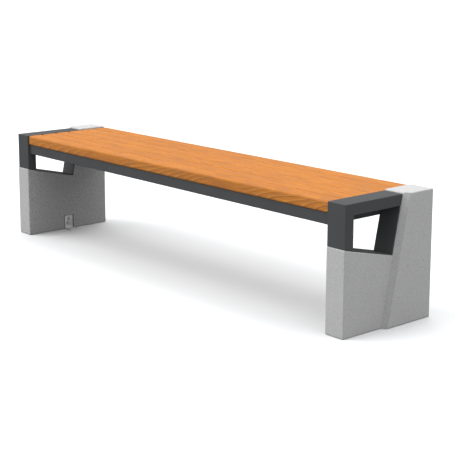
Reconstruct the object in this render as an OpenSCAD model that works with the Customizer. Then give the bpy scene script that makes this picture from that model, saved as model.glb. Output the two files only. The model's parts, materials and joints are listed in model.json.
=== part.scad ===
// Backless street bench: a timber seat on a steel frame, held between two precast concrete legs.
// Millimetres. +X runs along the bench, the front is at -Y, +Z is up. The origin is on the floor,
// at the middle of the bench's footprint.

/* [Overall] */
// Length between the outer faces of the two concrete legs
bench_l = 2020; // [1600:10:2400]
// Height of the concrete legs
leg_h = 450; // [430:5:480]
// Depth of a concrete leg, front to back
leg_d = 410; // [400:5:450]

/* [Concrete legs] */
// Thickness of a leg's front block
leg_w = 82; // [82:1:100]
// How far the rear block stands proud of the front block's outer face
proud = 20; // [10:1:30]
// Depth of the bevel between the front block and the proud rear block
bevel_run = 14; // [8:1:20]
// Distance at the floor from the front face to the leaning face
lean_base = 179.5; // [170:0.5:190]
// Angle of the leaning face from upright
lean_angle = 12.3; // [8:0.1:14]
// Height of the sloping step at the front face
step_front_h = 297; // [280:1:310]
// Slope of the step, downwards to the rear
step_angle = 13.2; // [8:0.1:15]
// Diameter of the reinforcing bars
rebar_dia = 8; // [6:1:10]

/* [End frames] */
// Width of the end frame tube, along the bench
tube_w = 80; // [70:1:82]
// Thickness of the end frame tube
tube_t = 40; // [30:1:50]
// Wall of the end frame tube
tube_wall = 3; // [2:0.5:4]
// Outer corner radius of the end frame tube
tube_r = 2.5; // [1:0.5:2.5]
// Setback of the end frame from the concrete's front face
frame_setback = 3; // [0:0.5:6]
// Drop from the top of the concrete to the top of the end frame
frame_drop = 5; // [3:0.5:10]
// Thickness of the plate against the leaning face
back_plate_t = 4; // [3:0.5:6]
// Thickness of the plate on the step
base_plate_t = 3; // [3:0.5:6]
// Diameter of the locating dowels under the base plate
dowel_dia = 16; // [12:1:16]

/* [Seat planks] */
// Number of planks
plank_count = 6; // [6:Six]
// Width of a plank
plank_w = 66; // [64:0.5:66]
// Thickness of a plank
plank_t = 40; // [36:1:44]
// Gap between two planks
plank_gap = 3; // [2:0.5:5]
// Radius of a plank's long edges
plank_r = 8; // [3:0.5:10]
// Setback of the first plank from the concrete's front face
plank_setback = 8; // [4:0.5:12]
// Gap between a plank's end and the end frame
plank_end_gap = 2.5; // [1:0.5:5]
// Drop from the top of the concrete to the top of the planks
plank_drop = 6; // [5:0.5:10]

/* [Seat frame] */
// Height of the rails and the end crossbars
rail_h = 40; // [30:1:50]
// Depth of a rail
rail_d = 30; // [30:1:40]
// Width of an end crossbar, along the bench
crossbar_w = 40; // [30:1:50]
// Wall of the rails and the end crossbars
rail_wall = 2.5; // [2:0.5:3]
// Setback of the front rail from the concrete's front face
rail_setback = 13; // [10:0.5:20]
// Width of a flat batten under the planks
batten_w = 50; // [40:1:60]
// Thickness of a batten
batten_t = 5; // [4:0.5:8]
// Number of battens
batten_count = 4; // [3:1:5]
// Distance from the end frame to the middle of the first batten
batten_inset = 120; // [100:5:200]

/* [Ground anchors] */
// Width of the anchor bracket
bracket_w = 40; // [30:1:44]
// Height of the bracket's upright leaf
bracket_h = 60; // [50:1:60]
// Thickness of the bracket
bracket_t = 5; // [4:0.5:5.5]
// How far the bracket's foot reaches out of the concrete
foot_reach = 38; // [30:1:60]
// Radius of the ground anchor's hole in the foot
foot_hole_r = 6.5; // [5:0.5:7]
// Width of the pocket in the concrete
pocket_w = 55; // [50:1:60]
// Height of the pocket
pocket_h = 63; // [62:1:70]
// Depth of the pocket
pocket_d = 6; // [6:0.5:10]

/* [Hidden] */
$fn = 48;
SIDES = ["left", "right"];
CONCRETE = [0.62, 0.62, 0.61];
DARK_STEEL = [0.25, 0.26, 0.27];
TIMBER = [0.85, 0.54, 0.30];
ZINC = [0.58, 0.60, 0.62];
BAR_STEEL = [0.42, 0.36, 0.32];

// Extra length on the shapes that cut, so that they run past the faces
CUT = 1;
// Clearance all round a part that sits in a cast hole or socket
SNUG = 0.2;
// Clear length below a bolt's or dowel's tip
TIP_ROOM = 8;

// The seat, from front to rear, measured from the concrete's front face
seat_d = plank_count * plank_w + (plank_count - 1) * plank_gap;
seat_rear_y = plank_setback + seat_d;
front_y = -max(leg_d, seat_rear_y) / 2;
inner_x = bench_l / 2 - proud - leg_w;
frame_top = leg_h - frame_drop;
plank_bottom = leg_h - plank_drop - plank_t;
rail_bottom = plank_bottom - rail_h;
rear_rail_y = seat_rear_y - (rail_setback - plank_setback) - rail_d;
rail_front_inner_y = rail_setback + rail_d;
rear_rail_end_t = 3;
crossbar_mid_z = plank_bottom - rail_h / 2;

// Steel plate thicknesses, measured along Y on the leaning face and along Z on the step
back_plate_run = back_plate_t / cos(lean_angle);
base_plate_rise = base_plate_t / cos(step_angle);

// M12 bolts from the end crossbars into the concrete
crossbar_bolt_ys = [rear_rail_y - 79, rear_rail_y - 16];
crossbar_bolt = [12, 19, 7.5, 80];
crossbar_washer = [24, 13, 2.5];
crossbar_insert = [22, 60];

// M10 bolt from the bracket into the concrete
anchor_bolt = [10, 17, 6.4, 40];
anchor_bolt_z = 30;
anchor_washer = [20, 10.5, 2];
anchor_insert = [16, 50];
anchor_slot_w = 11;
anchor_slot_top = 51;
bracket_y = leg_d / 2;
bracket_inner_r = 3;
leaf_x = pocket_d - bracket_t;

// Dowels under the base plate, and the sockets cast in the concrete
dowel_ys = [65, 170];
dowel_l = 80;
socket_wall = 2.8;

// Reinforcing bars: uprights as [y, bottom, top], levels as [z, front end, rear end]
rebar_uprights = [[40, 30, 245], [130, 30, 225], [215, 30, 205], [300, 30, 410], [375, 30, 410]];
rebar_levels = [[60, 30, 385], [190, 30, 385], [320, 290, 385], [400, 290, 385]];
rebar_x = 70;
rebar_gap = 1;

// Screws through the battens into the planks
screw_dia = 5;
screw_l = 30;
screw_head_dia = 10;
screw_head_h = 3;
outer_screw_shift = 17;

PLANKS = [1:plank_count];
BATTENS = [1:batten_count];
SIDE_NODES = ["concrete_leg", "rebar", "frame_upright", "frame_top_bar", "frame_back_plate",
    "frame_base_plate", "frame_dowels", "dowel_sockets", "end_crossbar", "crossbar_bolts",
    "crossbar_washers", "crossbar_inserts", "anchor_bracket", "anchor_bolt", "anchor_washer",
    "anchor_insert"];

// Y of the leaning face at a height, and Z of the step at a depth
function lean_y(z) = lean_base + z * tan(lean_angle);
function step_z(y) = step_front_h - y * tan(step_angle);

// The corner between the step raised by rise and the leaning face moved forward by run
function corner_y(run, rise) =
    (lean_base - run + tan(lean_angle) * (step_front_h + rise))
    / (1 + tan(lean_angle) * tan(step_angle));
function corner(run, rise) = [corner_y(run, rise), step_z(corner_y(run, rise)) + rise];

function plank_y(i) = plank_setback + (i - 1) * (plank_w + plank_gap);
function batten_x(i) =
    -inner_x + batten_inset + (i - 1) * 2 * (inner_x - batten_inset) / (batten_count - 1);
function screw_y(i) =
    plank_y(i) + plank_w / 2
    + (i == 1 ? outer_screw_shift : i == plank_count ? -outer_screw_shift : 0);

// Placing: x is 0 at a leg's inner face and grows outwards, y is 0 at the concrete's front face
module on_side(side) {
    mirror([side == "left" ? 1 : 0, 0, 0])
        translate([inner_x, front_y, 0])
            children();
}

module from_front() {
    translate([0, front_y, 0])
        children();
}

// A side view drawn as [y, z] points, extruded along X from x0 to x1
module side_prism(points, x0, x1) {
    translate([x0, 0, 0])
        rotate([90, 0, 90])
            linear_extrude(x1 - x0)
                polygon(points);
}

module bar_x(dia, x0, x1) {
    translate([x0, 0, 0])
        rotate([0, 90, 0])
            cylinder(d = dia, h = x1 - x0);
}

module rounded_rect(w, h, r) {
    translate([r, 0])
        square([w - 2 * r, h]);
    translate([0, r])
        square([w, h - 2 * r]);
    for (x = [r, w - r], y = [r, h - r])
        translate([x, y])
            circle(r);
}

module tube_section(w, h, wall, r) {
    difference() {
        rounded_rect(w, h, r);
        translate([wall, wall])
            square([w - 2 * wall, h - 2 * wall]);
    }
}

// A hexagon bolt along +X with its head's underside at x = 0: [diameter, across flats, head, length]
module hex_bolt(size) {
    translate([-size[2], 0, 0])
        rotate([0, 90, 0])
            cylinder(d = size[1] / cos(30), h = size[2], $fn = 6);
    bar_x(size[0], -CUT, size[3]);
}

// A washer along +X from x = 0: [outer diameter, hole, thickness]
module washer(size) {
    difference() {
        bar_x(size[0], 0, size[2]);
        bar_x(size[1], -CUT, size[2] + CUT);
    }
}

// A threaded socket from x = 0, open towards -X: [diameter, length], bored for a bolt
module insert(size, bolt_dia, bore_l) {
    difference() {
        bar_x(size[0], 0, size[1]);
        bar_x(bolt_dia + 2 * SNUG, -CUT, bore_l);
    }
}

module at_crossbar_bolts(x) {
    for (y = crossbar_bolt_ys)
        translate([x, y, crossbar_mid_z])
            children();
}

module at_anchor_bolt(x) {
    translate([x, bracket_y, anchor_bolt_z])
        children();
}

// Down into the concrete, square to the step; z is 0 on the step
module at_dowels() {
    for (y = dowel_ys)
        translate([tube_w / 2, y, step_z(y)])
            rotate([-step_angle, 0, 0])
                children();
}

// ---- Concrete legs ----

leg_outline = [[0, 0], [leg_d, 0], [leg_d, leg_h], [lean_y(leg_h), leg_h], corner(0, 0),
    [0, step_front_h]];

// What is missing beside the front block: all that lies outside it and ahead of the bevel
module bevel_cut() {
    run = bevel_run * cos(lean_angle);
    translate([0, lean_base, 0])
        rotate([-lean_angle, 0, 0])
            translate([0, 0, -leg_d])
                linear_extrude(3 * leg_d)
                    polygon([[leg_w, 0], [leg_w, -2 * leg_d], [leg_w + proud + CUT, -2 * leg_d],
                        [leg_w + proud + CUT, run * (proud + CUT) / proud]]);
}

module leg_block() {
    difference() {
        side_prism(leg_outline, 0, leg_w + proud);
        bevel_cut();
    }
}

module rebar_bars() {
    for (u = rebar_uprights)
        translate([rebar_x, u[0], u[1]])
            cylinder(d = rebar_dia, h = u[2] - u[1]);
    for (l = rebar_levels)
        translate([rebar_x - rebar_dia - rebar_gap, l[1], l[0]])
            rotate([-90, 0, 0])
                cylinder(d = rebar_dia, h = l[2] - l[1]);
}

module concrete_leg(side) {
    socket_dia = dowel_dia + 2 * SNUG + 2 * socket_wall;
    color(CONCRETE) on_side(side)
        difference() {
            leg_block();
            translate([-CUT, bracket_y - pocket_w / 2, -CUT])
                cube([pocket_d + CUT, pocket_w, pocket_h + CUT]);
            at_anchor_bolt(pocket_d)
                bar_x(anchor_insert[0], -CUT, anchor_insert[1]);
            at_crossbar_bolts(0)
                bar_x(crossbar_insert[0], -CUT, crossbar_insert[1]);
            at_dowels()
                translate([0, 0, -dowel_l - TIP_ROOM - socket_wall])
                    cylinder(d = socket_dia, h = dowel_l + 2 * TIP_ROOM + socket_wall);
            rebar_bars();
        }
}

module rebar(side) {
    color(BAR_STEEL) on_side(side)
        rebar_bars();
}

// ---- End frames ----

module frame_upright(side) {
    y0 = frame_setback;
    y1 = frame_setback + tube_t;
    z0 = step_front_h + base_plate_rise;
    outline = [[y0, z0 - y0 * tan(step_angle)], [y1, z0 - y1 * tan(step_angle)],
        [y1, frame_top - tube_t], [y0, frame_top]];
    color(DARK_STEEL) on_side(side)
        intersection() {
            translate([0, y0, 0])
                linear_extrude(leg_h)
                    tube_section(tube_w, tube_t, tube_wall, tube_r);
            side_prism(outline, -CUT, tube_w + CUT);
        }
}

module frame_top_bar(side) {
    low = frame_top - tube_t;
    outline = [[frame_setback, frame_top], [frame_setback + tube_t, low],
        [lean_y(low) - back_plate_run, low], [lean_y(frame_top) - back_plate_run, frame_top]];
    color(DARK_STEEL) on_side(side)
        intersection() {
            translate([0, leg_d, low])
                rotate([90, 0, 0])
                    linear_extrude(leg_d)
                        tube_section(tube_w, tube_t, tube_wall, tube_r);
            side_prism(outline, -CUT, tube_w + CUT);
        }
}

module frame_back_plate(side) {
    outline = [corner(back_plate_run, base_plate_rise), corner(0, base_plate_rise),
        [lean_y(frame_top), frame_top], [lean_y(frame_top) - back_plate_run, frame_top]];
    color(DARK_STEEL) on_side(side)
        side_prism(outline, 0, tube_w);
}

module frame_base_plate(side) {
    y0 = frame_setback;
    outline = [[y0, step_z(y0)], corner(0, 0), corner(0, base_plate_rise),
        [y0, step_z(y0) + base_plate_rise]];
    color(DARK_STEEL) on_side(side)
        side_prism(outline, 0, tube_w);
}

module frame_dowels(side) {
    color(DARK_STEEL) on_side(side)
        at_dowels()
            translate([0, 0, -dowel_l])
                cylinder(d = dowel_dia, h = dowel_l);
}

module dowel_sockets(side) {
    bore = dowel_dia + 2 * SNUG;
    depth = dowel_l + TIP_ROOM;
    color(ZINC) on_side(side)
        at_dowels()
            difference() {
                translate([0, 0, -depth - socket_wall])
                    cylinder(d = bore + 2 * socket_wall, h = depth + socket_wall);
                translate([0, 0, -depth])
                    cylinder(d = bore, h = depth + CUT);
            }
}

// ---- Seat frame ----

module rail(y, x0, x1) {
    translate([x0, y, rail_bottom])
        rotate([90, 0, 90])
            linear_extrude(x1 - x0)
                tube_section(rail_d, rail_h, rail_wall, tube_r);
}

module front_rail() {
    color(DARK_STEEL) from_front()
        rail(rail_setback, -inner_x, inner_x);
}

module rear_rail() {
    color(DARK_STEEL) from_front()
        rail(rear_rail_y, rear_rail_end_t - inner_x, inner_x - rear_rail_end_t);
}

module rear_rail_end_plates() {
    color(DARK_STEEL)
        for (side = SIDES)
            on_side(side)
                translate([-rear_rail_end_t, rear_rail_y, rail_bottom])
                    cube([rear_rail_end_t, rail_d, rail_h]);
}

module end_crossbar(side) {
    color(DARK_STEEL) on_side(side)
        difference() {
            translate([-crossbar_w, rear_rail_y, rail_bottom])
                rotate([90, 0, 0])
                    linear_extrude(rear_rail_y - rail_front_inner_y)
                        tube_section(crossbar_w, rail_h, rail_wall, tube_r);
            at_crossbar_bolts(0)
                bar_x(crossbar_washer[1], -crossbar_w - CUT, CUT);
        }
}

module crossbar_bolts(side) {
    color(ZINC) on_side(side)
        at_crossbar_bolts(-crossbar_w - crossbar_washer[2])
            hex_bolt(crossbar_bolt);
}

module crossbar_washers(side) {
    color(ZINC) on_side(side)
        at_crossbar_bolts(-crossbar_w - crossbar_washer[2])
            washer(crossbar_washer);
}

module crossbar_inserts(side) {
    reach = crossbar_bolt[3] - crossbar_w - crossbar_washer[2];
    color(ZINC) on_side(side)
        at_crossbar_bolts(0)
            insert(crossbar_insert, crossbar_bolt[0], reach + TIP_ROOM);
}

module seat_batten(i) {
    color(DARK_STEEL) from_front()
        difference() {
            translate([batten_x(i) - batten_w / 2, rail_front_inner_y, plank_bottom - batten_t])
                cube([batten_w, rear_rail_y - rail_front_inner_y, batten_t]);
            for (p = PLANKS)
                translate([batten_x(i), screw_y(p), plank_bottom - batten_t - CUT])
                    cylinder(d = screw_dia + 2 * SNUG, h = batten_t + 2 * CUT);
        }
}

// ---- Seat ----

module plank(i) {
    tip_z = plank_bottom - batten_t + screw_l;
    color(TIMBER) from_front()
        difference() {
            translate([plank_end_gap - inner_x, plank_y(i), plank_bottom])
                rotate([90, 0, 90])
                    linear_extrude(2 * (inner_x - plank_end_gap))
                        rounded_rect(plank_w, plank_t, plank_r);
            for (b = BATTENS)
                translate([batten_x(b), screw_y(i), plank_bottom - CUT])
                    cylinder(d = screw_dia, h = tip_z - plank_bottom + CUT);
        }
}

module plank_screws() {
    color(ZINC) from_front()
        for (b = BATTENS, p = PLANKS)
            translate([batten_x(b), screw_y(p), plank_bottom - batten_t]) {
                translate([0, 0, -screw_head_h])
                    cylinder(d = screw_head_dia, h = screw_head_h);
                translate([0, 0, -CUT])
                    cylinder(d = screw_dia, h = screw_l + CUT);
            }
}

// ---- Ground anchors ----

// The bracket's section as [x, z]: an L with a rounded bend
module bracket_section() {
    outer_r = bracket_inner_r + bracket_t;
    difference() {
        translate([-foot_reach, 0])
            square([foot_reach + leaf_x + bracket_t, bracket_h]);
        translate([-foot_reach - CUT, bracket_t])
            square([foot_reach + CUT + leaf_x - bracket_inner_r, bracket_h]);
        translate([leaf_x - bracket_inner_r - CUT, bracket_t + bracket_inner_r])
            square([bracket_inner_r + CUT, bracket_h]);
        translate([leaf_x - bracket_inner_r, bracket_t + bracket_inner_r])
            circle(bracket_inner_r);
        difference() {
            translate([leaf_x + bracket_t - outer_r, 0])
                square(outer_r + CUT);
            translate([leaf_x + bracket_t - outer_r, outer_r])
                circle(outer_r);
            translate([leaf_x + bracket_t - outer_r - CUT, outer_r])
                square(outer_r + CUT);
        }
    }
}

module anchor_bracket(side) {
    slot_low = anchor_bolt_z;
    slot_high = anchor_slot_top - anchor_slot_w / 2;
    color(ZINC) on_side(side)
        difference() {
            translate([0, bracket_y + bracket_w / 2, 0])
                rotate([90, 0, 0])
                    linear_extrude(bracket_w)
                        bracket_section();
            for (z = [slot_low, slot_high])
                translate([0, bracket_y, z])
                    bar_x(anchor_slot_w, leaf_x - CUT, pocket_d + CUT);
            translate([leaf_x - CUT, bracket_y - anchor_slot_w / 2, slot_low])
                cube([bracket_t + 2 * CUT, anchor_slot_w, slot_high - slot_low]);
            translate([-foot_reach / 2, bracket_y, -CUT])
                cylinder(r = foot_hole_r, h = bracket_t + 2 * CUT);
        }
}

module anchor_bolt(side) {
    color(ZINC) on_side(side)
        at_anchor_bolt(leaf_x - anchor_washer[2])
            hex_bolt(anchor_bolt);
}

module anchor_washer(side) {
    color(ZINC) on_side(side)
        at_anchor_bolt(leaf_x - anchor_washer[2])
            washer(anchor_washer);
}

module anchor_insert(side) {
    reach = anchor_bolt[3] + leaf_x - anchor_washer[2] - pocket_d;
    color(ZINC) on_side(side)
        at_anchor_bolt(pocket_d)
            insert(anchor_insert, anchor_bolt[0], reach + TIP_ROOM);
}

for (side = SIDES) {
    concrete_leg(side);
    rebar(side);
    frame_upright(side);
    frame_top_bar(side);
    frame_back_plate(side);
    frame_base_plate(side);
    frame_dowels(side);
    dowel_sockets(side);
    end_crossbar(side);
    crossbar_bolts(side);
    crossbar_washers(side);
    crossbar_inserts(side);
    anchor_bracket(side);
    anchor_bolt(side);
    anchor_washer(side);
    anchor_insert(side);
}
front_rail();
rear_rail();
rear_rail_end_plates();
plank_screws();
for (i = BATTENS)
    seat_batten(i);
for (i = PLANKS)
    plank(i);
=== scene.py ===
"""The looks of a backless street bench: timber planks on a dark steel frame between two concrete legs.

Every length below is in millimetres unless its name ends in _m. A side's own frame has x = 0 at the
concrete leg's inner face and grows outwards, y = 0 at the concrete's front face, and z = 0 on the floor.
"""

import json
import math
import random

import bmesh
import bpy
from mathutils import Matrix, Vector


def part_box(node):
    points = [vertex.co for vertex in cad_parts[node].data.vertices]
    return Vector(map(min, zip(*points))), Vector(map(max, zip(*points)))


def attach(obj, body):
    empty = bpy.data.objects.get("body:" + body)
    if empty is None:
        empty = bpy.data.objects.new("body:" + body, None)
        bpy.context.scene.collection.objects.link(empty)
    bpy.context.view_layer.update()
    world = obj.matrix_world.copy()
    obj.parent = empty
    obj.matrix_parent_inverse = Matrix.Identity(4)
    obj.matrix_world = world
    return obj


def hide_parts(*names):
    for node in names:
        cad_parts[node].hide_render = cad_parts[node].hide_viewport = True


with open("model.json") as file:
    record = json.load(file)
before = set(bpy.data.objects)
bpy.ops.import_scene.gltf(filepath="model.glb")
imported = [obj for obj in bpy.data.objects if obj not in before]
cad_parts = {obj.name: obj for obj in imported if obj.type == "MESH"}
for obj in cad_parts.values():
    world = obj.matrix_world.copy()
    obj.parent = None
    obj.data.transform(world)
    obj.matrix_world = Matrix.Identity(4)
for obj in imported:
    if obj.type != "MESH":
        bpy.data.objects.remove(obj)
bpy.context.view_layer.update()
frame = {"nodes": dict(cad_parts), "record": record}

MM = 0.001
SIDES = {"left": -1, "right": 1}
PLANK_COUNT = 6
BATTEN_COUNT = 4

# ---- Sizes, from the frame ----

leg_low, leg_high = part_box("concrete_leg_right")
upright_low, upright_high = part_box("frame_upright_right")

INNER_X = leg_low.x / MM
FRONT_Y = leg_low.y / MM
LEG_D = (leg_high.y - leg_low.y) / MM
LEG_H = leg_high.z / MM
LEG_REACH = (leg_high.x - leg_low.x) / MM
FRAME_TOP = upright_high.z / MM
FRAME_W = (upright_high.x - upright_low.x) / MM
FRAME_FRONT = upright_low.y / MM - FRONT_Y

# ---- Sizes that the frame's boxes don't give, the same as the CAD's ----

# The concrete leg and the plates on its slopes
PROUD = 20
LEG_W = LEG_REACH - PROUD
LEAN_BASE = 179.5
LEAN = math.tan(math.radians(12.3))
STEP_FRONT_H = 297
STEP = math.tan(math.radians(13.2))
BEVEL_RUN = 14
BACK_PLATE_T, BASE_PLATE_T = 4, 3
BACK_PLATE_RUN = BACK_PLATE_T * math.hypot(1, LEAN)
BASE_PLATE_RISE = BASE_PLATE_T * math.hypot(1, STEP)
CONCRETE_R = 4.5

# The steel frame and the planks on it
TUBE = 40
TUBE_R = 2.5
CROSSBAR_W = 40
PLANK_R = 8
PLANK_END_R = 1.8

# The anchor bracket in its pocket, the inner face of its upright leaf at LEAF_X
POCKET_W, POCKET_H, POCKET_D = 55, 63, 6
LEAF_X = 1
BRACKET_W, BRACKET_H, BRACKET_T = 40, 60, 5
BRACKET_OUTER_R, BRACKET_INNER_R = 8, 3
FOOT_REACH = 38
FOOT_HOLE_R = 6.5
SLOT_W = 11
SLOT_TOP = 51

# Fasteners
ANCHOR_BOLT_Z = 30
ANCHOR_WASHER_T = 2
CROSSBAR_BOLT_YS = (305, 368)
CROSSBAR_BOLT_Z = 384
CROSSBAR_WASHER_T = 2.5
SCREW_R, SCREW_L, SCREW_POINT = 2.5, 30, 7
SCREW_HEAD_R, SCREW_HEAD_H = 5, 3
OUTER_SCREW_SHIFT = 17

# How near counts as lying on a face
TOUCH = 0.1


def box_mm(node):
    """A CAD node's low and high corners in millimetres."""
    low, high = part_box(node)
    return low / MM, high / MM


def lean_y(z):
    """Y of the rear block's leaning face."""
    return LEAN_BASE + z * LEAN


def step_z(y):
    """Z of the front block's sloping top."""
    return STEP_FRONT_H - y * STEP


def corner(run, rise):
    """Where the step, raised by rise, meets the leaning face, moved forward by run."""
    y = (LEAN_BASE - run + LEAN * (STEP_FRONT_H + rise)) / (1 + LEAN * STEP)
    return y, step_z(y) + rise


# ---- Mesh helpers ----


def angles(turn, steps):
    """Angles in radians from 0 to a turn in degrees, both ends included."""
    return [math.radians(turn * k / steps) for k in range(steps + 1)]


def full_circle(segments):
    """Angles in radians once round, without the first one again at the end."""
    return angles(360, segments)[:-1]


def to_hexagon(a):
    """How much further a hexagon's outline is than its inner circle, at an angle."""
    return 1 / math.cos(a % (math.pi / 3) - math.pi / 6)


def side_prism(outline, x0, x1):
    """A closed prism along X from a side view drawn as (y, z) points."""
    bm = bmesh.new()
    near = [bm.verts.new((x0, y, z)) for y, z in outline]
    far = [bm.verts.new((x1, y, z)) for y, z in outline]
    bm.faces.new(near)
    bm.faces.new(far[::-1])
    for i in range(len(outline)):
        j = (i + 1) % len(outline)
        bm.faces.new((near[i], far[i], far[j], near[j]))
    bmesh.ops.recalc_face_normals(bm, faces=bm.faces)
    return bm


def loft(loops, closed_ends=True):
    """A skin over loops of points that have the same count."""
    bm = bmesh.new()
    rings = [[bm.verts.new(p) for p in loop] for loop in loops]
    for a, b in zip(rings, rings[1:]):
        for i in range(len(a)):
            j = (i + 1) % len(a)
            bm.faces.new((a[i], a[j], b[j], b[i]))
    if closed_ends:
        bm.faces.new(rings[0][::-1])
        bm.faces.new(rings[-1])
    bmesh.ops.recalc_face_normals(bm, faces=bm.faces)
    return bm


def rounded_rect(w, h, r):
    """A rectangle's outline from (0, 0) to (w, h) with round corners, as (u, v) points."""
    points = []
    for cu, cv, start in ((w - r, r, -90), (w - r, h - r, 0), (r, h - r, 90), (r, r, 180)):
        for a in angles(90, 6):
            turned = a + math.radians(start)
            points.append((cu + r * math.cos(turned), cv + r * math.sin(turned)))
    return points


def move(bm, x, y, z):
    bmesh.ops.translate(bm, verts=bm.verts, vec=(x, y, z))
    return bm


def join(*parts):
    """One bmesh that holds all of these."""
    whole = parts[0]
    for part in parts[1:]:
        mesh = bpy.data.meshes.new("joining")
        part.to_mesh(mesh)
        part.free()
        whole.from_mesh(mesh)
        bpy.data.meshes.remove(mesh)
    return whole


def new_object(name, bm):
    mesh = bpy.data.meshes.new(name)
    bm.to_mesh(mesh)
    bm.free()
    obj = bpy.data.objects.new(name, mesh)
    bpy.context.scene.collection.objects.link(obj)
    return obj


def cut_away(bm, cutter):
    """What is left of bm outside the cutter."""
    target, tool = new_object("cut_target", bm), new_object("cut_tool", cutter)
    modifier = target.modifiers.new("cut", "BOOLEAN")
    modifier.operation = "DIFFERENCE"
    modifier.solver = "EXACT"
    modifier.object = tool
    bpy.context.view_layer.update()
    result = bmesh.new()
    result.from_object(target, bpy.context.evaluated_depsgraph_get())
    for obj in (target, tool):
        bpy.data.objects.remove(obj)
    # Slivers would hold back the rounding of edges
    bmesh.ops.remove_doubles(result, verts=result.verts, dist=0.001)
    flat = math.radians(0.5)
    bmesh.ops.dissolve_limit(result, angle_limit=flat, verts=result.verts, edges=result.edges)
    return result


def round_edges(bm, radius, segments, sharper_than=25, wanted=lambda edge: True):
    """Rounds the sharp edges that wanted() picks."""
    picked = [e for e in bm.edges
              if len(e.link_faces) == 2 and wanted(e)
              and e.calc_face_angle(0) > math.radians(sharper_than)]
    bmesh.ops.bevel(bm, geom=picked, offset=radius, segments=segments, profile=0.5,
                    affect="EDGES", clamp_overlap=True)
    return bm


def on_side(bm, side):
    """Moves a bmesh from a side's own frame in millimetres to the bench's in metres."""
    sign = SIDES[side]
    for v in bm.verts:
        v.co = Vector((sign * (INNER_X + v.co.x), FRONT_Y + v.co.y, v.co.z)) * MM
    if sign < 0:
        bmesh.ops.reverse_faces(bm, faces=bm.faces)
    return bm


def on_bench(bm):
    """Millimetres to metres, for what is already in the bench's frame."""
    bmesh.ops.scale(bm, verts=bm.verts, vec=(MM, MM, MM))
    return bm


def piece(name, bm, material, slot, *nodes, smooth_under=40):
    """A visible piece that rides on the bench and stands for these CAD nodes."""
    obj = new_object(name, bm)
    for polygon in obj.data.polygons:
        polygon.use_smooth = True
    obj.data.set_sharp_from_angle(angle=math.radians(smooth_under))
    obj.data.materials.append(material)
    weighted = obj.modifiers.new("flat_faces", "WEIGHTED_NORMAL")
    weighted.keep_sharp = True
    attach(obj, "root")
    if nodes:
        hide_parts(*nodes)


# ---- Materials ----


class Shader:
    """A material's node tree, with short calls for the nodes that these materials use.

    A socket's value is another node's output or a plain number or colour.
    """

    def __init__(self, name):
        self.material = bpy.data.materials.new(name)
        self.material.use_nodes = True
        self.tree = self.material.node_tree
        self.surface = self.tree.nodes["Principled BSDF"]
        self.place = self.add("ShaderNodeTexCoord").outputs["Object"]

    def add(self, kind, inputs=None, **settings):
        made = self.tree.nodes.new(kind)
        for key, value in settings.items():
            setattr(made, key, value)
        for key, value in (inputs or {}).items():
            self.feed(made.inputs[key], value)
        return made

    def feed(self, socket, value):
        if isinstance(value, bpy.types.NodeSocket):
            self.tree.links.new(value, socket)
        else:
            socket.default_value = value

    def set(self, **inputs):
        """Feeds the surface's inputs, named with _ for each space."""
        for key, value in inputs.items():
            self.feed(self.surface.inputs[key.replace("_", " ")], value)

    def math(self, operation, a, b=0.0, clamp=False):
        return self.add("ShaderNodeMath", {0: a, 1: b}, operation=operation, use_clamp=clamp).outputs[0]

    def plus(self, a, b):
        return self.math("ADD", a, b)

    def times(self, a, b):
        return self.math("MULTIPLY", a, b)

    def line(self, value):
        """1 where the value is 0, and 0 where it is past -1 or 1."""
        return self.math("SUBTRACT", 1.0, self.math("ABSOLUTE", value), clamp=True)

    def axes(self, place):
        return self.add("ShaderNodeSeparateXYZ", {"Vector": place}).outputs

    def channels(self, colour):
        return self.add("ShaderNodeSeparateColor", {"Color": colour}).outputs

    def moved(self, shift, turn=(0, 0, 0)):
        return self.add("ShaderNodeMapping", {
            "Vector": self.place, "Location": shift, "Rotation": turn}).outputs[0]

    def scaled(self, place, along, across):
        """A place for noise that is drawn out along X."""
        return self.add("ShaderNodeMapping", {"Vector": place, "Scale": (along, across, across)}).outputs[0]

    def noise(self, scale, detail=3.0, roughness=0.55, place=None, distortion=0.0):
        return self.add("ShaderNodeTexNoise", {
            "Vector": place or self.place, "Scale": scale, "Detail": detail,
            "Roughness": roughness, "Distortion": distortion}).outputs["Fac"]

    def cells(self, scale):
        return self.add("ShaderNodeTexVoronoi", {"Vector": self.place, "Scale": scale}).outputs

    def span(self, value, low, high, to_low=0.0, to_high=1.0):
        """The value's range from low to high, stretched to another and held at its ends."""
        return self.add("ShaderNodeMapRange", {
            "Value": value, "From Min": low, "From Max": high,
            "To Min": to_low, "To Max": to_high}).outputs[0]

    def mix(self, share, a, b):
        """Colour a where share is 0, colour b where it is 1."""
        made = self.add("ShaderNodeMix", {"Factor": share}, data_type="RGBA")
        self.feed(made.inputs[6], a)
        self.feed(made.inputs[7], b)
        return made.outputs[2]

    def bump(self, height, distance_m, strength):
        return self.add("ShaderNodeBump", {
            "Height": height, "Distance": distance_m, "Strength": strength}).outputs["Normal"]


def grey(value):
    return (value, value, value, 1)


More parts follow.
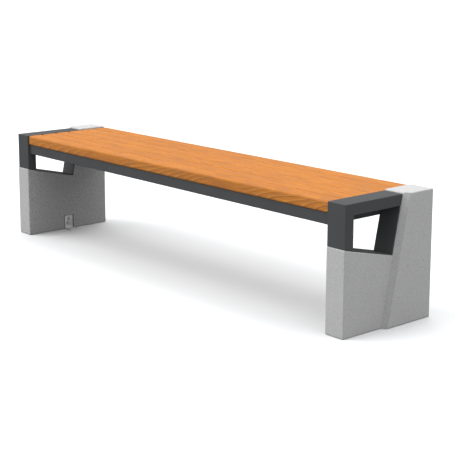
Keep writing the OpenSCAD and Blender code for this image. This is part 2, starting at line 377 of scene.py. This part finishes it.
def concrete_material():
    """Sand-grained precast concrete: faint clouds, coarse and fine grains, dark specks, small air pits with
    painted shade inside.

    The legs' inner faces, cast against the rougher side of the mould, are coarser.
    """
    s = Shader("precast_concrete")
    clouds = s.noise(9, detail=4)
    grains = s.noise(215, detail=2, roughness=0.75)
    patches = s.noise(95, detail=2, roughness=0.6, place=s.moved((7, 2, 9)))
    dark_grains = s.noise(250, detail=2, roughness=0.7, place=s.moved((2, 8, 4)))
    light_grains = s.noise(300, detail=2, roughness=0.7, place=s.moved((3, 5, 7)))
    sand = s.cells(620)
    powder = s.noise(1500, detail=2)

    colour = s.mix(s.span(clouds, 0.3, 0.7), grey(0.262), grey(0.282))
    colour = s.mix(s.span(patches, 0.34, 0.66, 0, 0.42), colour, grey(0.225))
    colour = s.mix(s.span(grains, 0.36, 0.64, 0, 0.62), colour, grey(0.335))
    colour = s.mix(s.span(s.channels(sand["Color"])[0], 0, 1, 0, 0.28), colour, grey(0.31))
    colour = s.mix(s.span(dark_grains, 0.58, 0.70, 0, 0.45), colour, grey(0.12))
    colour = s.mix(s.span(light_grains, 0.60, 0.72, 0, 0.42), colour, grey(0.43))

    from_middle = s.math("ABSOLUTE", s.axes(s.place)["X"])
    inner_face = s.span(from_middle, (INNER_X + 0.5) * MM, (INNER_X + 3) * MM, 1, 0)
    coarse = s.noise(260, detail=3, roughness=0.75, place=s.moved((4, 1, 6)))
    colour = s.mix(s.times(s.span(coarse, 0.47, 0.69), inner_face), colour, grey(0.095))
    colour = s.mix(s.times(s.span(coarse, 0.52, 0.31, 0, 0.90), inner_face), colour, grey(0.42))

    # Air pits: the bump dents them, and their insides are painted dark as painted shade in the hollows
    pits = s.cells(75)
    some_cells = s.math("GREATER_THAN", s.channels(pits["Color"])[1], 0.90)
    pit = s.times(s.span(pits["Distance"], 0.07, 0.13, 1, 0), some_cells)
    colour = s.mix(s.times(pit, 0.60), colour, grey(0.07))
    rough = s.plus(s.times(s.plus(sand["Distance"], powder), 0.30), s.times(grains, 0.35))
    s.set(Base_Color=colour, Roughness=s.span(patches, 0.3, 0.7, 0.86, 0.95), Specular_IOR_Level=0.25,
          Normal=s.bump(s.math("SUBTRACT", rough, pit), 0.0007, 0.6))
    return s.material


def powder_coat_material():
    """Matt anthracite powder coat: fine orange peel, faint clouding."""
    s = Shader("anthracite_powder_coat")
    peel = s.noise(900, detail=1, roughness=0.4)
    fleck = s.noise(3200, detail=1)
    clouds = s.noise(7, detail=3)
    colour = s.mix(s.span(clouds, 0.3, 0.7), (0.0405, 0.0420, 0.0437, 1), (0.0455, 0.0472, 0.0490, 1))
    colour = s.mix(s.span(fleck, 0.45, 0.75, 0, 0.35), colour, (0.050, 0.052, 0.054, 1))
    s.set(Base_Color=colour, Roughness=s.span(clouds, 0.3, 0.7, 0.56, 0.66), Specular_IOR_Level=0.045,
          Normal=s.bump(s.plus(peel, s.times(fleck, 0.4)), 0.00012, 0.5))
    return s.material


def galvanised_material():
    """Hot-dip galvanised steel: spangle cells, dull white bloom."""
    s = Shader("galvanised_steel")
    tone = s.channels(s.cells(160)["Color"])[0]
    bloom = s.noise(45, detail=5, roughness=0.65)
    fine = s.noise(900, detail=2)
    colour = s.mix(s.span(tone, 0, 1), (0.40, 0.41, 0.42, 1), (0.53, 0.54, 0.56, 1))
    colour = s.mix(s.span(bloom, 0.45, 0.7, 0, 0.5), colour, (0.60, 0.61, 0.62, 1))
    s.set(Base_Color=colour, Roughness=s.span(s.plus(tone, bloom), 0.3, 1.6, 0.42, 0.68), Metallic=0.35,
          Normal=s.bump(s.plus(bloom, s.times(fine, 0.3)), 0.0003, 0.5))
    return s.material


def zinc_material():
    """Zinc-plated fasteners: smooth, slightly mottled metal."""
    s = Shader("zinc_plate")
    mottle = s.noise(220, detail=4, roughness=0.6)
    lines = s.noise(60, detail=2, place=s.scaled(s.place, 8, 60))
    colour = s.mix(s.span(mottle, 0.3, 0.7), (0.42, 0.43, 0.45, 1), (0.58, 0.58, 0.59, 1))
    s.set(Base_Color=colour, Roughness=s.span(mottle, 0.3, 0.7, 0.30, 0.46), Metallic=0.95,
          Normal=s.bump(lines, 0.0001, 0.4))
    return s.material


def bar_steel_material():
    """Mill-finish bar: dark scale with a little rust."""
    s = Shader("bar_steel")
    scale = s.noise(90, detail=5, roughness=0.65)
    rust = s.span(s.noise(35, detail=4), 0.5, 0.7, 0, 0.7)
    colour = s.mix(s.span(scale, 0.3, 0.7), (0.10, 0.095, 0.09, 1), (0.17, 0.16, 0.15, 1))
    colour = s.mix(rust, colour, (0.22, 0.085, 0.035, 1))
    s.set(Base_Color=colour, Roughness=s.span(scale, 0.3, 0.7, 0.55, 0.8), Metallic=0.6,
          Normal=s.bump(scale, 0.0004, 0.6))
    return s.material


def growth_lines(s, inside, log):
    """A pale and a dark line at each growth ring, from 0 to 1. inside is the place in the log."""
    sway = s.noise(1.0, detail=1, roughness=0.4, place=s.scaled(inside, 2.6, 4))
    ripple = s.noise(1.0, detail=2, roughness=0.5, place=s.scaled(inside, 11, 30))
    x, y, z = s.axes(inside)
    radius = s.math("SQRT", s.plus(s.times(y, y), s.times(z, z)))
    radius = s.plus(radius, s.span(sway, 0, 1, -log["sway"] * MM, log["sway"] * MM))
    radius = s.plus(radius, s.times(x, log["taper"]))
    radius = s.plus(radius, s.span(ripple, 0, 1, -2 * MM, 2 * MM))
    turn = s.math("FRACT", s.math("DIVIDE", radius, log["ring"] * MM))
    # From 0 to 1 across each ring, a thin pale line in the middle and a softer dark one before it
    pale_line = s.line(s.span(turn, 0.0, 1.0, -4.6, 4.6))
    dark_line = s.line(s.span(turn, 0.0, 1.0, -1.2, 4.6))
    if log["arches_under"] is None:
        return pale_line, dark_line

    # Arches show low on the plank only, and in clusters along it
    top = log["arches_under"]
    low_down = s.span(s.axes(s.place)["Z"], (top - 6) * MM, top * MM, 1, 0)
    clusters = s.noise(1.0, detail=0, place=s.scaled(inside, 2.4, 3))
    shown = s.times(low_down, s.span(clusters, 0.42, 0.52, 0.12, 1))
    return s.times(pale_line, shown), s.times(dark_line, shown)


def timber_material(name, log):
    """Planed timber, sawn from a log: growth rings round its heart, fibres along it, small pores.

    log says where in its log this plank lay: shift along it, heart (y, z) from the bench's origin,
    tilt of the heart in degrees, ring width, taper of the rings, how far they sway, how strong the
    figure is, tone from 0, pale, to 1, dark, and the height that arches stay under, if it has them.
    """
    s = Shader(name)
    heart_y, heart_z = log["heart"]
    tilt_y, tilt_z = log["tilt"]
    inside = s.moved((log["shift"] * MM, -heart_y * MM, -heart_z * MM),
                     (0, math.radians(tilt_y), math.radians(tilt_z)))
    pale_line, dark_line = growth_lines(s, inside, log)
    streak = s.noise(1.0, detail=3, roughness=0.62, place=s.scaled(inside, 11, 60), distortion=0.6)
    broad = s.noise(1.0, detail=2, roughness=0.5, place=s.scaled(inside, 1.8, 16))
    fibre = s.noise(1.0, detail=4, roughness=0.65, place=s.scaled(inside, 9, 420))
    pores = s.span(s.noise(1.0, detail=1, roughness=0.5, place=s.scaled(inside, 55, 1500)), 0.66, 0.78)

    orange = (0.356 - 0.014 * log["tone"], 0.132 - 0.008 * log["tone"], 0.0205, 1)
    rosy = (0.274, 0.106, 0.0285, 1)
    brown = (0.207, 0.071, 0.0155, 1)
    honey = (0.416, 0.187, 0.0440, 1)
    pore_brown = (0.115, 0.037, 0.0075, 1)
    colour = s.mix(s.span(streak, 0.40, 0.62), orange, rosy)
    colour = s.mix(s.span(broad, 0.40, 0.70, 0, 0.30), colour, brown)
    colour = s.mix(s.times(dark_line, log["figure"] * 0.75), colour, brown)
    colour = s.mix(s.times(pale_line, log["figure"]), colour, honey)
    colour = s.mix(s.span(fibre, 0.44, 0.76, 0, 0.50), colour, brown)
    colour = s.mix(s.times(pores, 0.45), colour, pore_brown)
    height = s.math("SUBTRACT", s.plus(fibre, s.times(dark_line, 0.35)), pores)
    s.set(Base_Color=colour, Roughness=s.span(fibre, 0.3, 0.8, 0.52, 0.68), Specular_IOR_Level=0.065,
          Normal=s.bump(height, 0.00025, 0.5))
    return s.material


def plank_logs():
    """Where each plank was sawn. The front one cuts tapering rings, so its edge shows slanting arches."""
    rng = random.Random(11)
    logs = []
    for i in range(1, PLANK_COUNT + 1):
        low, high = box_mm(f"plank_{i}")
        middle = (low + high) / 2
        side = 1 if i % 2 else -1
        log = {"shift": rng.uniform(-4000, 4000), "tilt": (rng.uniform(-0.5, 0.5), rng.uniform(-0.9, 0.9)),
               "heart": (middle.y + side * rng.uniform(55, 90), middle.z - rng.uniform(10, 40)),
               "ring": rng.uniform(5.0, 7.0), "tone": rng.uniform(0, 1), "sway": 12, "figure": 0.40,
               "taper": 0.0, "arches_under": None}
        if i == 1:
            log.update(shift=600, tilt=(0, 0), heart=(low.y + 14, low.z + 4), ring=12.5, sway=22,
                       figure=1.0, taper=-0.19, arches_under=high.z - 4)
        logs.append(log)
    return logs


# ---- Pieces ----


def ahead_of_bevel(past):
    """All that lies outside the front block and ahead of the bevel, and reaches this far past the leg."""
    run = BEVEL_RUN * (PROUD + past) / PROUD
    far_x = LEG_REACH + past
    loops = []
    for z in (-past, LEG_H + past):
        y = lean_y(z)
        loops.append([(LEG_W, y, z), (LEG_W, -past, z), (far_x, -past, z), (far_x, y + run, z)])
    return loft(loops)


def concrete_leg(side, material):
    """The cast leg: a front block, a leaning rear block that stands proud, and the bracket's pocket."""
    outline = [(0, 0), (LEG_D, 0), (LEG_D, LEG_H), (lean_y(LEG_H), LEG_H), corner(0, 0), (0, STEP_FRONT_H)]
    past = 50
    bm = cut_away(side_prism(outline, 0, LEG_REACH), ahead_of_bevel(past))
    middle = LEG_D / 2
    near_y, far_y = middle - POCKET_W / 2, middle + POCKET_W / 2
    bm = cut_away(bm, side_prism(
        [(near_y, -past), (far_y, -past), (far_y, POCKET_H), (near_y, POCKET_H)], -past, POCKET_D))

    def at_pocket(edge):
        return all(v.co.x < POCKET_D + TOUCH and near_y - TOUCH < v.co.y < far_y + TOUCH
                   and v.co.z < POCKET_H + TOUCH for v in edge.verts)

    def at_bevel(edge):
        return all(abs(v.co.y - lean_y(v.co.z) - (v.co.x - LEG_W) / PROUD * BEVEL_RUN) < TOUCH
                   and v.co.x > LEG_W - TOUCH for v in edge.verts)

    round_edges(bm, CONCRETE_R, 4, wanted=lambda e: not at_pocket(e) and not at_bevel(e))
    piece(f"concrete_leg_{side}_cast", on_side(bm, side), material, "concrete", f"concrete_leg_{side}")


def plank(i, material):
    """A plank with round long edges and slightly eased ends."""
    low, high = box_mm(f"plank_{i}")
    size = high - low
    loops = []
    for x_end, inward in ((low.x, 1), (high.x, -1)):
        part = []
        for a in angles(90, 3):
            inset = PLANK_END_R * (1 - math.sin(a))
            x = x_end + inward * PLANK_END_R * (1 - math.cos(a))
            part.append([(x, low.y + inset + u, low.z + inset + v) for u, v in
                         rounded_rect(size.y - 2 * inset, size.z - 2 * inset, PLANK_R - inset)])
        loops += part if inward > 0 else part[::-1]
    piece(f"plank_{i}_timber", on_bench(loft(loops)), material, "timber", f"plank_{i}")


def split(bm, point, normal):
    """The closed half of bm that lies on the normal's side of a plane."""
    bmesh.ops.bisect_plane(bm, geom=bm.verts[:] + bm.edges[:] + bm.faces[:], dist=0.0001,
                           plane_co=point, plane_no=normal, clear_inner=True)
    rim = [e for e in bm.edges if e.is_boundary]
    bmesh.ops.holes_fill(bm, edges=rim, sides=0)
    bmesh.ops.recalc_face_normals(bm, faces=bm.faces)
    return bm


def end_frame(side, material):
    """The upright and the top bar, one round-edged shape parted along the mitre."""
    front, back = FRAME_FRONT, FRAME_FRONT + TUBE
    top, under = FRAME_TOP, FRAME_TOP - TUBE

    def foot_z(y):
        return step_z(y) + BASE_PLATE_RISE

    def rear_y(z):
        return lean_y(z) - BACK_PLATE_RUN

    def is_round(edge):
        """Every edge but those at the plates and the one where the two bars meet inside."""
        at_plates = all(abs(v.co.z - foot_z(v.co.y)) < TOUCH or abs(v.co.y - rear_y(v.co.z)) < TOUCH
                        for v in edge.verts)
        inner_corner = all(abs(v.co.y - back) < TOUCH and abs(v.co.z - under) < TOUCH for v in edge.verts)
        return not at_plates and not inner_corner

    outline = [(front, foot_z(front)), (back, foot_z(back)), (back, under), (rear_y(under), under),
               (rear_y(top), top), (front, top)]
    mitre = Vector((0, 1, 1)).normalized()
    for name, facing in (("frame_upright", -mitre), ("frame_top_bar", mitre)):
        bm = round_edges(side_prism(outline, 0, FRAME_W), TUBE_R, 4, wanted=is_round)
        bm = split(bm, (0, front, top), facing)
        piece(f"{name}_{side}_tube", on_side(bm, side), material, "powder_coat", f"{name}_{side}")


def frame_plates(side, material):
    """The plate up the leaning face and the plate on the step."""
    top_y, front_z = lean_y(FRAME_TOP), step_z(FRAME_FRONT)
    outlines = {
        "back": [corner(BACK_PLATE_RUN, BASE_PLATE_RISE), corner(0, BASE_PLATE_RISE),
                 (top_y, FRAME_TOP), (top_y - BACK_PLATE_RUN, FRAME_TOP)],
        "base": [(FRAME_FRONT, front_z), corner(0, 0), corner(0, BASE_PLATE_RISE),
                 (FRAME_FRONT, front_z + BASE_PLATE_RISE)]}
    for which, outline in outlines.items():
        bm = round_edges(side_prism(outline, 0, FRAME_W), 0.8, 2)
        node = f"frame_{which}_plate_{side}"
        piece(f"{node}_steel", on_side(bm, side), material, "powder_coat", node)


def hex_bolt(across, head, shank, length):
    """A bolt along X, its head's underside at x = 0 and its shank towards +X, with a chamfered head."""
    apothem = across / 2
    crown = apothem * 0.95

    def hexagon(a):
        return apothem * to_hexagon(a)

    def ring(x_at, radius_at):
        return [(x_at(a), radius_at(a) * math.cos(a), radius_at(a) * math.sin(a)) for a in full_circle(48)]

    return loft([
        ring(lambda a: -head, lambda a: crown),
        ring(lambda a: -head + (hexagon(a) - crown) * 0.55, hexagon),
        ring(lambda a: -0.3, hexagon),
        ring(lambda a: 0.0, lambda a: hexagon(a) - 0.3),
        ring(lambda a: 0.0, lambda a: shank / 2),
        ring(lambda a: length - 1, lambda a: shank / 2),
        ring(lambda a: length, lambda a: shank / 2 - 1)])


def washer(outer, hole, thickness):
    """A washer along X from x = 0 with softened rims."""
    soft = 0.3
    profile = [(soft, outer / 2), (0, outer / 2 - soft), (0, hole / 2 + soft), (soft, hole / 2),
               (thickness - soft, hole / 2), (thickness, hole / 2 + soft),
               (thickness, outer / 2 - soft), (thickness - soft, outer / 2)]
    turns = full_circle(40)
    loops = [[(x, r * math.cos(a), r * math.sin(a)) for a in turns] for x, r in profile + profile[:1]]
    bm = loft(loops, closed_ends=False)
    bmesh.ops.remove_doubles(bm, verts=bm.verts, dist=0.001)
    bmesh.ops.recalc_face_normals(bm, faces=bm.faces)
    return bm


def fasteners(name, side, bm, material):
    """Bolts or washers on a side, as one zinc-plated piece."""
    piece(f"{name}_{side}_zinc", on_side(bm, side), material, "zinc_fasteners", f"{name}_{side}")


def anchor_fasteners(side, material):
    """The bolt that holds the anchor bracket to the concrete, and its washer."""
    x, y, z = LEAF_X - ANCHOR_WASHER_T, LEG_D / 2, ANCHOR_BOLT_Z
    ring = washer(outer=20, hole=10.5, thickness=ANCHOR_WASHER_T)
    bolt = hex_bolt(across=17, head=6.4, shank=10, length=40)
    fasteners("anchor_washer", side, move(ring, x, y, z), material)
    fasteners("anchor_bolt", side, move(bolt, x, y, z), material)


def bracket(side, material):
    """The anchor bracket: an angle with a slot for the wall bolt and a hole for the ground bolt."""
    back, front, reach = LEAF_X + BRACKET_T, LEAF_X, -FOOT_REACH
    outline = [(back, BRACKET_H), (front, BRACKET_H)]
    outline += [(front - BRACKET_INNER_R * (1 - math.cos(a)), BRACKET_T + BRACKET_INNER_R * (1 - math.sin(a)))
                for a in angles(90, 6)]
    outline += [(reach, BRACKET_T), (reach, 0)]
    outline += [(back - BRACKET_OUTER_R * (1 - math.sin(a)), BRACKET_OUTER_R * (1 - math.cos(a)))
                for a in angles(90, 6)]
    middle = LEG_D / 2
    bm = loft([[(x, y, z) for x, z in outline] for y in (middle - BRACKET_W / 2, middle + BRACKET_W / 2)])

    past = 20
    half, low, high = SLOT_W / 2, ANCHOR_BOLT_Z, SLOT_TOP - SLOT_W / 2
    turns = angles(180, 16)
    slot = [(middle + half * math.cos(a), high + half * math.sin(a)) for a in turns]
    slot += [(middle - half * math.cos(a), low - half * math.sin(a)) for a in turns]
    bm = cut_away(bm, loft([[(x, y, z) for y, z in slot] for x in (front - past, back + past)]))
    hole = [(reach / 2 + FOOT_HOLE_R * math.cos(a), middle + FOOT_HOLE_R * math.sin(a))
            for a in full_circle(40)]
    bm = cut_away(bm, loft([[(x, y, z) for x, y in hole] for z in (-past, BRACKET_T + past)]))
    round_edges(bm, 0.5, 2, sharper_than=50)
    piece(f"anchor_bracket_{side}_angle", on_side(bm, side), material, "galvanised", f"anchor_bracket_{side}")


def crossbar_fasteners(side, material):
    """Each crossbar's two bolts and washers, one piece of each, inside the crossbar's tube."""
    x, z = -CROSSBAR_W - CROSSBAR_WASHER_T, CROSSBAR_BOLT_Z
    rings = [washer(outer=24, hole=13, thickness=CROSSBAR_WASHER_T) for _ in CROSSBAR_BOLT_YS]
    bolts = [hex_bolt(across=19, head=7.5, shank=12, length=80) for _ in CROSSBAR_BOLT_YS]
    for name, made in (("crossbar_washers", rings), ("crossbar_bolts", bolts)):
        placed = [move(bm, x, y, z) for bm, y in zip(made, CROSSBAR_BOLT_YS)]
        fasteners(name, side, join(*placed), material)


def plank_screw():
    """A pan-head screw that points up from z = 0, the outside of its head, with a six-sided socket."""
    socket_r = 1.6

    def ring(z, radius, outline=lambda a: 1):
        return [(radius * outline(a) * math.cos(a), radius * outline(a) * math.sin(a), z)
                for a in full_circle(24)]

    rows = [ring(1.8, 0.5), ring(1.6, socket_r, to_hexagon), ring(0.3, socket_r, to_hexagon)]
    rows += [ring(SCREW_HEAD_H * (1 - math.cos(a)), SCREW_HEAD_R * math.sin(a)) for a in angles(90, 5)[2:]]
    tip_z = SCREW_HEAD_H + SCREW_L
    rows += [ring(SCREW_HEAD_H, SCREW_R), ring(tip_z - SCREW_POINT, SCREW_R), ring(tip_z, 0.4)]
    return loft(rows)


def plank_screws(material):
    """The screws from under the battens up into the planks, one for each crossing."""
    screws = []
    for batten in range(1, BATTEN_COUNT + 1):
        batten_low, batten_high = box_mm(f"seat_batten_{batten}")
        x = (batten_low.x + batten_high.x) / 2
        for i in range(1, PLANK_COUNT + 1):
            low, high = box_mm(f"plank_{i}")
            shift = {1: OUTER_SCREW_SHIFT, PLANK_COUNT: -OUTER_SCREW_SHIFT}.get(i, 0)
            y = (low.y + high.y) / 2 + shift
            screws.append(move(plank_screw(), x, y, batten_low.z - SCREW_HEAD_H))
    piece("plank_screws_zinc", on_bench(join(*screws)), material, "zinc_fasteners", "plank_screws")


def bead(start, end, one_way, other_way, size, rng):
    """A fillet weld along a line, with ripples. The two ways point along the faces that it joins."""
    start, end = Vector(start), Vector(end)
    one_way, other_way = Vector(one_way), Vector(other_way)
    count = max(6, round((end - start).length / 1.5))
    loops = []
    for k in range(count + 1):
        t = k / count
        taper = min(1.0, 0.45 + 6 * min(t, 1 - t))
        r = size * taper * (1 + 0.07 * math.sin(k * 2.1) + rng.uniform(-0.05, 0.05))
        at = start.lerp(end, t)
        loop = [at - (one_way + other_way) * 0.3]
        for a in angles(90, 6):
            bulge = 0.80 + 0.20 * abs(math.cos(2 * a))
            loop.append(at + (one_way * math.cos(a) + other_way * math.sin(a)) * r * bulge)
        loops.append(loop)
    return loft(loops)


def welds(material):
    """Fillet welds where the battens and the end crossbars meet the two rails."""
    rng = random.Random(5)
    front, rear = box_mm("front_rail")[1].y, box_mm("rear_rail")[0].y
    for rail, y, inward in (("front", front, 1), ("rear", rear, -1)):
        beads = []
        for batten in range(1, BATTEN_COUNT + 1):
            low, high = box_mm(f"seat_batten_{batten}")
            beads.append(bead((low.x + 3, y, low.z), (high.x - 3, y, low.z),
                              (0, inward, 0), (0, 0, -1), 4.0, rng))
        for side, sign in SIDES.items():
            low, high = box_mm(f"end_crossbar_{side}")
            face = sign * (INNER_X - CROSSBAR_W)
            beads.append(bead((face, y, low.z + 2), (face, y, high.z - 4),
                              (-sign, 0, 0), (0, inward, 0), 4.5, rng))
        piece(f"{rail}_rail_welds", on_bench(join(*beads)), material, "powder_coat", smooth_under=60)


# ---- Stage ----


def camera():
    """The three-quarter view from the front right, a little above the seat."""
    place_m = (3.4394, -2.8385, 1.2125)
    # In radians
    azimuth, downwards, roll = 0.8530, 0.1830, 0.0019
    data = bpy.data.cameras.new("camera")
    data.lens = 91.36
    data.shift_y = -0.1236
    obj = bpy.data.objects.new("camera", data)
    obj.matrix_world = (Matrix.Translation(place_m) @ Matrix.Rotation(azimuth, 4, "Z")
                        @ Matrix.Rotation(math.pi / 2 - downwards, 4, "X") @ Matrix.Rotation(roll, 4, "Z"))
    bpy.context.scene.collection.objects.link(obj)
    bpy.context.scene.camera = obj


def camera_rays(tree):
    """1 for what the camera sees itself, 0 for light on its way to other surfaces."""
    return tree.nodes.new("ShaderNodeLightPath").outputs["Is Camera Ray"]


def floor():
    """A plain pale floor. It sends half as much light back to the bench as the camera sees of it."""
    half_m = 120
    bm = bmesh.new()
    bmesh.ops.create_grid(bm, x_segments=1, y_segments=1, size=half_m)
    obj = new_object("floor", bm)
    material = bpy.data.materials.new("pale_floor")
    material.use_nodes = True
    tree = material.node_tree
    surface = tree.nodes["Principled BSDF"]
    colour = tree.nodes.new("ShaderNodeMix")
    colour.data_type = "RGBA"
    colour.inputs[6].default_value = (0.254, 0.259, 0.264, 1)
    colour.inputs[7].default_value = (0.512, 0.519, 0.526, 1)
    tree.links.new(camera_rays(tree), colour.inputs["Factor"])
    tree.links.new(colour.outputs[2], surface.inputs["Base Color"])
    surface.inputs["Roughness"].default_value = 0.9
    surface.inputs["Specular IOR Level"].default_value = 0.1
    obj.data.materials.append(material)


def soft_light(name, azimuth, elevation, spread, strength):
    """A far, soft light from this direction in degrees, azimuth counted from +X towards +Y."""
    data = bpy.data.lights.new(name, "SUN")
    data.angle = math.radians(spread)
    data.energy = strength
    obj = bpy.data.objects.new(name, data)
    level, rise = math.radians(azimuth), math.radians(elevation)
    towards = Vector((math.cos(rise) * math.cos(level), math.cos(rise) * math.sin(level), math.sin(rise)))
    obj.rotation_mode = "QUATERNION"
    obj.rotation_quaternion = towards.to_track_quat("Z", "Y")
    bpy.context.scene.collection.objects.link(obj)


def lights():
    """Two soft overhead lights, a key from the front left, and weaker ones from behind and the right."""
    soft_light("overhead", 0, 90, 50, 0.68)
    soft_light("overhead_wide", 0, 90, 100, 1.55)
    soft_light("key", -135, 37, 60, 3.75)
    soft_light("behind_left", 120, 60, 50, 1.30)
    soft_light("behind_right", 60, 60, 50, 0.41)
    soft_light("right", 0, 30, 50, 1.06)


def surroundings():
    """A weak even light from all round, in front of a white background."""
    world = bpy.data.worlds.new("surroundings")
    bpy.context.scene.world = world
    world.use_nodes = True
    tree = world.node_tree
    background = tree.nodes["Background"]
    background.inputs["Color"].default_value = (1, 1, 1, 1)
    strength = tree.nodes.new("ShaderNodeMapRange")
    strength.inputs["To Min"].default_value = 0.68
    strength.inputs["To Max"].default_value = 1.0
    tree.links.new(camera_rays(tree), strength.inputs["Value"])
    tree.links.new(strength.outputs["Result"], background.inputs["Strength"])
    bpy.context.scene.view_settings.view_transform = "Standard"


# ---- Putting it together ----

concrete = concrete_material()
powder_coat = powder_coat_material()
galvanised = galvanised_material()
zinc = zinc_material()
bar_steel = bar_steel_material()
BY_SLOT = {"concrete": concrete, "powder_coat": powder_coat, "galvanised": galvanised,
           "zinc_fasteners": zinc, "bar_steel": bar_steel}

# The CAD's own meshes keep their shapes. Each gets its slot's material.
for row in frame["record"]["subparts"]:
    if row["material_slot"] in BY_SLOT:
        cad_piece = frame["nodes"][row["node"]]
        cad_piece.material_slots[0].material = BY_SLOT[row["material_slot"]]

for side in SIDES:
    concrete_leg(side, concrete)
    end_frame(side, powder_coat)
    frame_plates(side, powder_coat)
    bracket(side, galvanised)
    anchor_fasteners(side, zinc)
    crossbar_fasteners(side, zinc)
plank_screws(zinc)
welds(powder_coat)
for number, log in enumerate(plank_logs(), 1):
    plank(number, timber_material(f"timber_{number}", log))

camera()
floor()
lights()
surroundings()
